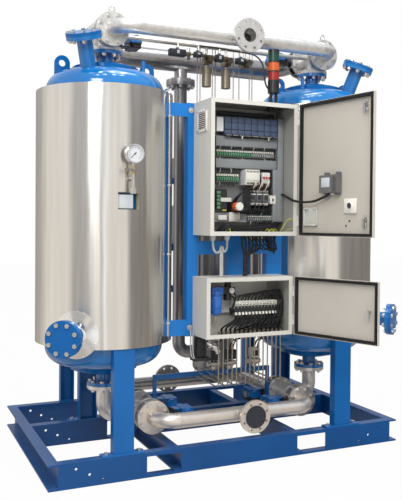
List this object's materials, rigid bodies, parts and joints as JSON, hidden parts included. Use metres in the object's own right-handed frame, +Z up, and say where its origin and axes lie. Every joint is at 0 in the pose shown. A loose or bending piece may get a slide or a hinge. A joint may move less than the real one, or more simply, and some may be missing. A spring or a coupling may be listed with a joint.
{
  "type": "desiccant air dryer",
  "caption": "Skid-mounted desiccant compressed-air dryer with clad pressure vessels, flanged valve piping, open control cabinets and a signal light.",
  "frame": {"origin": "on the floor under the middle long beam, at mid-length of the skid", "axes": "+X along the skid to the right tower, +Y to the back, +Z up"},
  "size_m": [2.3328, 1.9958, 2.692],
  "materials": {
    "frame_blue": "gloss blue coat",
    "cladding_steel": "cold-rolled stainless sheet",
    "pipe_steel": "pickled stainless pipe",
    "zinc": "bright zinc",
    "brass": "machined",
    "dark_iron": "painted casting",
    "disc_steel": "turned",
    "insulation": "mineral wool",
    "desiccant": "packed beads",
    "needle_black": "matt",
    "lever_red": "gloss",
    "cover_black": "moulded",
    "lamp_plastic": "black housing with red, orange and green lenses",
    "blower_grey": "cast",
    "cabinet_grey": "fine textured coat",
    "gasket_black": "foam",
    "plate_zinc": "zinc-plated sheet",
    "duct_grey": "moulded",
    "module_grey": "moulded",
    "terminal_green": "moulded",
    "switch_white": "moulded",
    "knob_orange": "moulded",
    "knob_black": "moulded",
    "panel_grey": "moulded",
    "bowl_blue": "moulded"
  },
  "bodies": {
    "frame": {"skid_long_beams": "frame_blue", "skid_cross_members": "frame_blue", "left_vessel": "frame_blue", "right_vessel": "frame_blue", "claddings": "cladding_steel", "tower_legs": "frame_blue", "insulation_jackets": "insulation", "desiccant_beds": "desiccant", "blind_flanges": "frame_blue", "lifting_lugs": "frame_blue", "bolts": "zinc", "gauge_stacks": "brass", "top_tees": "pipe_steel", "outlet_header": "pipe_steel", "regen_header": "pipe_steel", "check_valve_bodies": "dark_iron", "valve_bodies": "dark_iron", "valve_actuators": "frame_blue", "bottom_spools": "pipe_steel", "inlet_header": "pipe_steel", "inlet_cover": "cover_black", "exhaust_manifold": "pipe_steel", "heater_vessel": "cladding_steel", "regeneration_blower": "blower_grey", "pipe_supports": "frame_blue", "panel_frame": "frame_blue", "upper_enclosure": "cabinet_grey", "mounting_plate": "plate_zinc", "cable_ducts": "duct_grey", "control_modules": "module_grey", "terminal_strips": "terminal_green", "switchgear": "switch_white", "signal_tower": "lamp_plastic", "lower_enclosure": "cabinet_grey", "valve_island": "switch_white", "filter_regulator": "bowl_blue", "instrument_tubes": "pipe_steel", "pilot_manifold": "brass"},
    "upper_door": {"upper_door": "cabinet_grey", "upper_gasket": "gasket_black", "operator_panel": "panel_grey"},
    "lower_door": {"lower_door": "cabinet_grey", "lower_gasket": "gasket_black"},
    "upper_latch_top": {"upper_latch_top": "disc_steel"},
    "upper_latch_low": {"upper_latch_low": "disc_steel"},
    "lower_latch": {"lower_latch": "disc_steel"},
    "switch_knob": {"switch_knob": "knob_orange"},
    "regulator_knob": {"regulator_knob": "knob_black"},
    "left_gauge_needle": {"left_gauge_needle": "needle_black"},
    "right_gauge_needle": {"right_gauge_needle": "needle_black"},
    "left_cock_lever": {"left_cock_lever": "lever_red"},
    "right_cock_lever": {"right_cock_lever": "lever_red"},
    "left_check_flap": {"left_check_flap": "disc_steel"},
    "right_check_flap": {"right_check_flap": "disc_steel"},
    "left_inlet_disc": {"left_inlet_disc": "disc_steel"},
    "right_inlet_disc": {"right_inlet_disc": "disc_steel"},
    "left_exhaust_disc": {"left_exhaust_disc": "disc_steel"},
    "right_exhaust_disc": {"right_exhaust_disc": "disc_steel"},
    "left_regen_disc": {"left_regen_disc": "disc_steel"},
    "right_regen_disc": {"right_regen_disc": "disc_steel"}
  },
  "joints": [
    {"name": "upper_door_hinge", "type": "hinge", "parent": "frame", "child": "upper_door", "pos_m": [0.313, -0.894, 1.747], "axis": [0, 0, 1], "range_deg": [-101, 18]},
    {"name": "lower_door_hinge", "type": "hinge", "parent": "frame", "child": "lower_door", "pos_m": [0.313, -0.854, 0.9375], "axis": [0, 0, 1], "range_deg": [-111, 8]},
    {"name": "upper_latch_top_turn", "type": "hinge", "parent": "upper_door", "child": "upper_latch_top", "pos_m": [0.42894, -1.3961, 2.073], "axis": [-0.9816, -0.1908, 0], "range_deg": [0, 90]},
    {"name": "upper_latch_low_turn", "type": "hinge", "parent": "upper_door", "child": "upper_latch_low", "pos_m": [0.42894, -1.3961, 1.452], "axis": [-0.9816, -0.1908, 0], "range_deg": [0, 90]},
    {"name": "lower_latch_turn", "type": "hinge", "parent": "lower_door", "child": "lower_latch", "pos_m": [0.51436, -1.32834, 0.945], "axis": [-0.9336, -0.3584, 0], "range_deg": [0, 90]},
    {"name": "switch_knob_turn", "type": "hinge", "parent": "frame", "child": "switch_knob", "pos_m": [-0.021, -0.7425, 1.528], "axis": [0, 1, 0], "range_deg": [0, 90]},
    {"name": "regulator_knob_turn", "type": "hinge", "parent": "frame", "child": "regulator_knob", "pos_m": [-0.07, -0.73, 1.07], "axis": [0, 0, 1], "range_deg": [-180, 180]},
    {"name": "left_gauge_sweep", "type": "hinge", "parent": "frame", "child": "left_gauge_needle", "pos_m": [-0.705, -0.8725, 1.8], "axis": [0, 1, 0], "range_deg": [0, 270]},
    {"name": "left_cock_turn", "type": "hinge", "parent": "frame", "child": "left_cock_lever", "pos_m": [-0.705, -0.8743, 1.712], "axis": [0, -1, 0], "range_deg": [0, 90]},
    {"name": "left_check_swing", "type": "hinge", "parent": "frame", "child": "left_check_flap", "pos_m": [-0.73, -0.5105, 2.585], "axis": [-1, 0, 0], "range_deg": [0, 45]},
    {"name": "left_inlet_valve_turn", "type": "hinge", "parent": "frame", "child": "left_inlet_disc", "pos_m": [-0.47, -0.521, 0.265], "axis": [1, 0, 0], "range_deg": [0, 90]},
    {"name": "left_exhaust_valve_turn", "type": "hinge", "parent": "frame", "child": "left_exhaust_disc", "pos_m": [-0.47, -0.259, 0.265], "axis": [1, 0, 0], "range_deg": [0, 90]},
    {"name": "left_regen_valve_turn", "type": "hinge", "parent": "frame", "child": "left_regen_disc", "pos_m": [-0.73, -0.259, 2.552], "axis": [1, 0, 0], "range_deg": [0, 90]},
    {"name": "right_gauge_sweep", "type": "hinge", "parent": "frame", "child": "right_gauge_needle", "pos_m": [0.705, -0.8725, 1.8], "axis": [0, 1, 0], "range_deg": [0, 270]},
    {"name": "right_cock_turn", "type": "hinge", "parent": "frame", "child": "right_cock_lever", "pos_m": [0.705, -0.8743, 1.712], "axis": [0, 1, 0], "range_deg": [0, 90]},
    {"name": "right_check_swing", "type": "hinge", "parent": "frame", "child": "right_check_flap", "pos_m": [0.73, -0.5105, 2.585], "axis": [-1, 0, 0], "range_deg": [0, 45]},
    {"name": "right_inlet_valve_turn", "type": "hinge", "parent": "frame", "child": "right_inlet_disc", "pos_m": [0.568, -0.521, 0.265], "axis": [1, 0, 0], "range_deg": [0, 90]},
    {"name": "right_exhaust_valve_turn", "type": "hinge", "parent": "frame", "child": "right_exhaust_disc", "pos_m": [0.568, -0.259, 0.265], "axis": [1, 0, 0], "range_deg": [0, 90]},
    {"name": "right_regen_valve_turn", "type": "hinge", "parent": "frame", "child": "right_regen_disc", "pos_m": [0.73, -0.259, 2.552], "axis": [1, 0, 0], "range_deg": [0, 90]}
  ]
}
